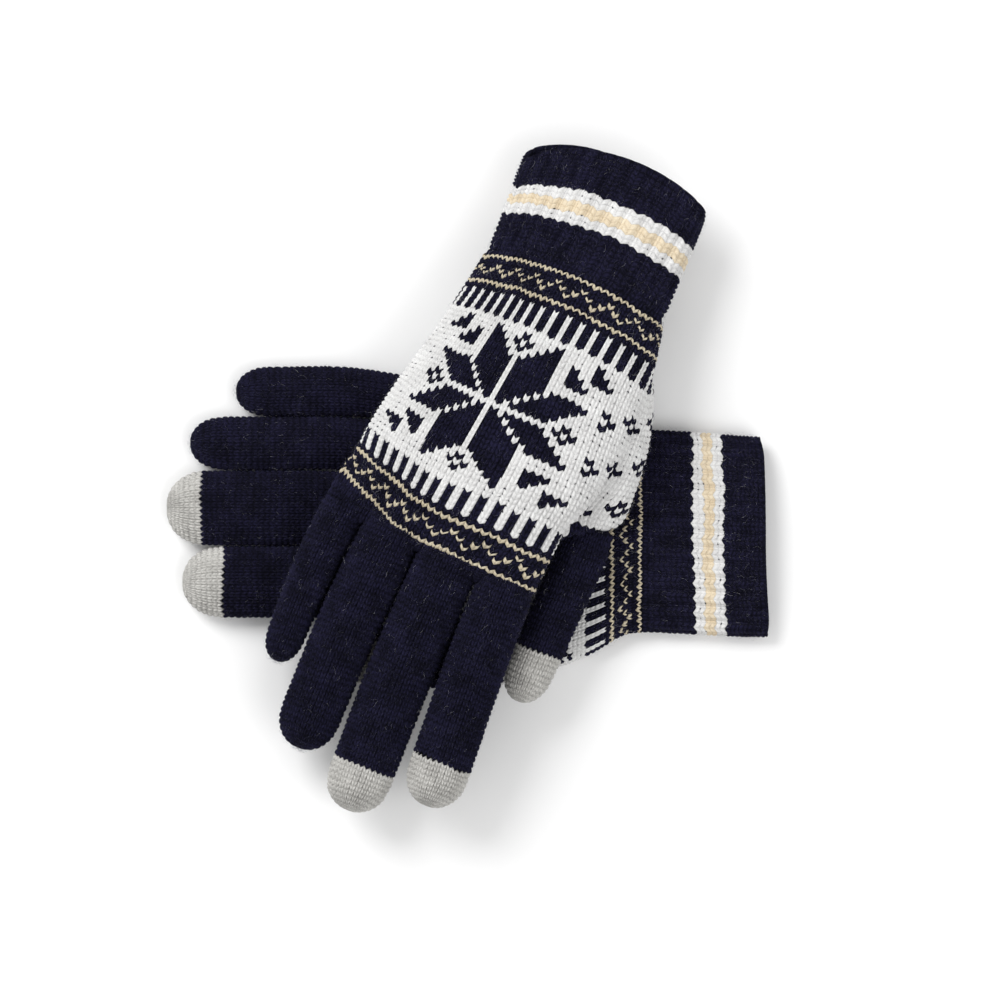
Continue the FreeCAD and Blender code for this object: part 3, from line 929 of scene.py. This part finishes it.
def fuzz(name, side, tube, v, x, pale, rng, hairs):
    """Loose fibres at places (v, x) of a tube, as thin tapering tubes; pale says which are white."""
    count = len(v)
    root, normal = tube.point(v, x), tube.normal(v, x)
    nearby = tube.point(v + 0.4, x) - root
    along = nearby / np.maximum(np.linalg.norm(nearby, axis=1, keepdims=True), 1e-9)
    across = np.cross(normal, along)
    way = rng.uniform(0, 2 * math.pi, count)
    bend = rng.normal(0, 0.9, count)
    length = rng.uniform(*FIBRE_LENGTH, count)
    lift = np.abs(rng.normal(0.25, 0.30, count)) * FIBRE_STAND
    radius = rng.uniform(*FIBRE_RADIUS, count)
    steps = np.linspace(0, 1, FIBRE_STEPS + 1)
    spine = np.empty((count, FIBRE_STEPS + 1, 3))
    for k, s in enumerate(steps):
        turned = way + bend * s
        flat = along * np.cos(turned)[:, None] + across * np.sin(turned)[:, None]
        reach = (length * s)[:, None]
        height = (-0.25 + (0.45 + lift * 1.3) * math.sin(math.pi * s * 0.62))[:, None]
        spine[:, k] = root + flat * reach + normal * height
    rings = np.empty((count, FIBRE_STEPS + 1, FIBRE_SIDES, 3))
    for q in range(FIBRE_SIDES):
        angle = 2 * math.pi * q / FIBRE_SIDES
        ray = normal * math.cos(angle) + np.cross(normal, along) * math.sin(angle)
        for k, s in enumerate(steps):
            rings[:, k, q] = spine[:, k] + ray * (radius * (1 - 0.75 * s))[:, None]
    points = place_points(rings.reshape(-1, 3), side)
    points[:, 2] = np.maximum(points[:, 2], 0.02 * MM)
    per = (FIBRE_STEPS + 1) * FIBRE_SIDES
    one = []
    for k in range(FIBRE_STEPS):
        for q in range(FIBRE_SIDES):
            a, b = k * FIBRE_SIDES + q, k * FIBRE_SIDES + (q + 1) % FIBRE_SIDES
            one.append((a, b, b + FIBRE_SIDES, a + FIBRE_SIDES))
    one = np.array(one)
    quads = (one[None] + (np.arange(count) * per)[:, None, None]).reshape(-1, 4).tolist()
    starts = (np.arange(count) * per)[:, None]
    ends = starts + FIBRE_STEPS * FIBRE_SIDES
    caps = np.concatenate([starts + np.array([[2, 1, 0]]), ends + np.array([[0, 1, 2]])]).tolist()
    me = bpy.data.meshes.new(name)
    me.from_pydata(points.tolist(), [], quads + caps)
    for hair in hairs:
        me.materials.append(hair)
    index = np.concatenate([np.repeat(pale.astype(int), len(one)), pale.astype(int), pale.astype(int)])
    me.polygons.foreach_set("material_index", index.tolist())
    me.update()
    return new_object(name, me)


def chart_fuzz(name, side, tube, chart, first, count, rng, hairs):
    """Fibres over a charted tube: white where the knitting is pale, mostly navy elsewhere."""
    y = rng.uniform(0.4, len(chart) - 1.6, count)
    x = rng.uniform(0, WALES, count)
    light = chart[y.astype(int), (x / WALES * chart.shape[1]).astype(int)] != NAVY
    pale = light | (rng.random(count) < PALE_SHARE)
    return fuzz(name, side, tube, course_place(side, y + first, x), x, pale, rng, hairs)


# ---------------------------------------------------------------- build both gloves
def ride_and_slot(ob, body, nodes):
    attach(ob, body)
    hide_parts(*nodes)


def joint_line(name, side, half):
    """Start and end of a finger's bending zone, in the row frame."""
    bend = STALLS[name][1]
    lo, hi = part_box(name + "_stall")
    middle = local_points(np.array([[(lo[c] + hi[c]) / 2 for c in range(3)]]), side)[0]
    ends = np.array([[bend - half, middle[1], middle[2]], [bend + half, middle[1], middle[2]]])
    return place_points(ends, side)


HAIRS = [hair_material("navy_fibre", (0.060, 0.060, 0.115)),
         hair_material("white_fibre", (0.55, 0.55, 0.58))]
HAND_FIBRES = 9000
CUFF_FIBRES = 4500
FINGER_FIBRES = 0.36         # per square millimetre of finger

TUBES = {}
for side in ("left", "right"):
    seed = 11 if side == "left" else 23
    rng = np.random.default_rng(seed)
    body = side + "_glove"
    tube = hand_tube(side)
    TUBES[side] = tube
    cuff = cuff_skin(side, tube, YARNS, rng)
    ride_and_slot(cuff, body, [side + "_cuff"])
    hand = hand_skin(side, tube, YARNS, rng)
    ride_and_slot(hand, body, [side + "_hand"])
    chart = hand_chart(STAR_WALE[side])
    loose = chart_fuzz(side + "_hand_fibres", side, tube, chart, 0, HAND_FIBRES, rng, HAIRS)
    ride_and_slot(loose, body, [])
    loose = chart_fuzz(side + "_cuff_fibres", side, tube, cuff_chart(), -CUFF_ROWS, CUFF_FIBRES, rng, HAIRS)
    ride_and_slot(loose, body, [])
    for finger in FINGERS + ("thumb",):
        name = side + "_" + finger
        knit, tip_knit, finger_tube, total = stall_skins(name, side, YARNS, rng)
        start, end = joint_line(name, side, STALLS[name][3])
        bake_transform(knit)
        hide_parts(name + "_base", name + "_stall")
        wale_width = finger_tube.width(np.array([total / 2]), np.array([0.0]))[0]
        count = int(FINGER_FIBRES * total * wale_width * finger_tube.wales)
        v = rng.uniform(3.0, total - 0.5, count)
        x = rng.uniform(0, finger_tube.wales, count)
        pale = rng.random(count) < PALE_SHARE
        loose = fuzz(name + "_fibres", side, finger_tube, v, x, pale, rng, HAIRS)
        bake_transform(loose)
        if tip_knit:
            ride_and_slot(tip_knit, name, [name + "_tip"])

# ---------------------------------------------------------------- elastic threads inside the cuffs
ELASTIC_COURSES = (-20.5, -11.0, -2.5)
THREADS = 3                  # side by side in each band
THREAD = 0.26                # mm, half of a thread's thickness
THREAD_DEPTH = 2.35          # mm below the cuff's outer surface
THREAD_SIDES = 6
THREAD_STEPS = 432


def elastic_threads(side, tube, material):
    """Bands of covered elastic thread that lie round the inside of a cuff's lining."""
    x = np.arange(THREAD_STEPS) * WALES / THREAD_STEPS
    rings, quads = [], []
    for course in ELASTIC_COURSES:
        v = course_place(side, np.full(THREAD_STEPS, course), x)
        normal = tube.normal(v, x)
        middle = tube.point(v, x) - normal * THREAD_DEPTH
        along = tube.point(v + 0.4, x) - tube.point(v, x)
        along /= np.linalg.norm(along, axis=1, keepdims=True)
        for k in range(THREADS):
            centre = middle + along * (k - (THREADS - 1) / 2) * 2.05 * THREAD
            radius = THREAD * (1 + 0.13 * np.sin(np.arange(THREAD_STEPS) * 2.2 + k))[:, None]
            start = sum(len(r) for r in rings)
            ring = []
            for q in range(THREAD_SIDES):
                angle = 2 * math.pi * q / THREAD_SIDES
                ring.append(centre + (normal * math.cos(angle) + along * math.sin(angle)) * radius)
            rings.append(np.stack(ring, axis=1).reshape(-1, 3))
            i, q = np.meshgrid(np.arange(THREAD_STEPS), np.arange(THREAD_SIDES), indexing="ij")
            i2, q2 = (i + 1) % THREAD_STEPS, (q + 1) % THREAD_SIDES
            faces = np.stack([i * THREAD_SIDES + q, i * THREAD_SIDES + q2, i2 * THREAD_SIDES + q2,
                              i2 * THREAD_SIDES + q], axis=2).reshape(-1, 4)
            quads.append(faces + start)
    me = bpy.data.meshes.new(side + "_elastic_threads")
    me.from_pydata(place_points(np.concatenate(rings), side).tolist(), [], np.concatenate(quads).tolist())
    me.materials.append(material)
    me.polygons.foreach_set("use_smooth", [True] * len(me.polygons))
    me.update()
    return new_object(side + "_elastic_threads", me)


elastic = hair_material("elastic_covered_thread", (0.030, 0.030, 0.050), 0.6)
for side in ("left", "right"):
    threads = elastic_threads(side, TUBES[side], elastic)
    ride_and_slot(threads, side + "_glove", [side + "_cuff_elastic"])

# ---------------------------------------------------------------- floor, light and camera
floor_mesh = bpy.data.meshes.new("floor")
FLOOR = 3.0                  # metres, half of its side
corners = [(-FLOOR, -FLOOR, 0), (FLOOR, -FLOOR, 0), (FLOOR, FLOOR, 0), (-FLOOR, FLOOR, 0)]
floor_mesh.from_pydata(corners, [], [(0, 1, 2, 3)])
floor = new_object("floor", floor_mesh)
paper = bpy.data.materials.new("paper_floor")
paper.use_nodes = True
paper_shader = paper.node_tree.nodes["Principled BSDF"]
paper_shader.inputs["Base Color"].default_value = (0.96, 0.96, 0.96, 1)
paper_shader.inputs["Roughness"].default_value = 0.9
floor_mesh.materials.append(paper)

world = bpy.data.worlds.new("studio")
bpy.context.scene.world = world
world.use_nodes = True
world.node_tree.nodes["Background"].inputs["Color"].default_value = (1, 1, 1, 1)
world.node_tree.nodes["Background"].inputs["Strength"].default_value = 0.62


def area_light(name, place, target, size, power):
    data = bpy.data.lights.new(name, "AREA")
    data.shape = "DISK"
    data.size = size
    data.energy = power
    ob = new_object(name, data)
    ob.location = place
    aim = Vector(target) - Vector(place)
    ob.rotation_euler = aim.to_track_quat("-Z", "Y").to_euler()


area_light("key", (-0.75, 0.80, 1.05), (0, 0, 0), 0.9, 15.0)
area_light("fill", (0.8, -0.6, 1.2), (0, 0, 0), 1.2, 7.0)

bpy.context.scene.view_settings.view_transform = "Standard"
camera_data = bpy.data.cameras.new("camera")
DISTANCE = 2.0               # metres above the gloves' middle
VIEW_WIDTH = 0.3564          # metres across the view there
SENSOR = 36.0
camera_data.sensor_width = SENSOR
camera_data.lens = SENSOR * DISTANCE / VIEW_WIDTH
camera = new_object("camera", camera_data)
camera.location = (0.0101, -0.0068, DISTANCE + 0.02)
bpy.context.scene.camera = camera
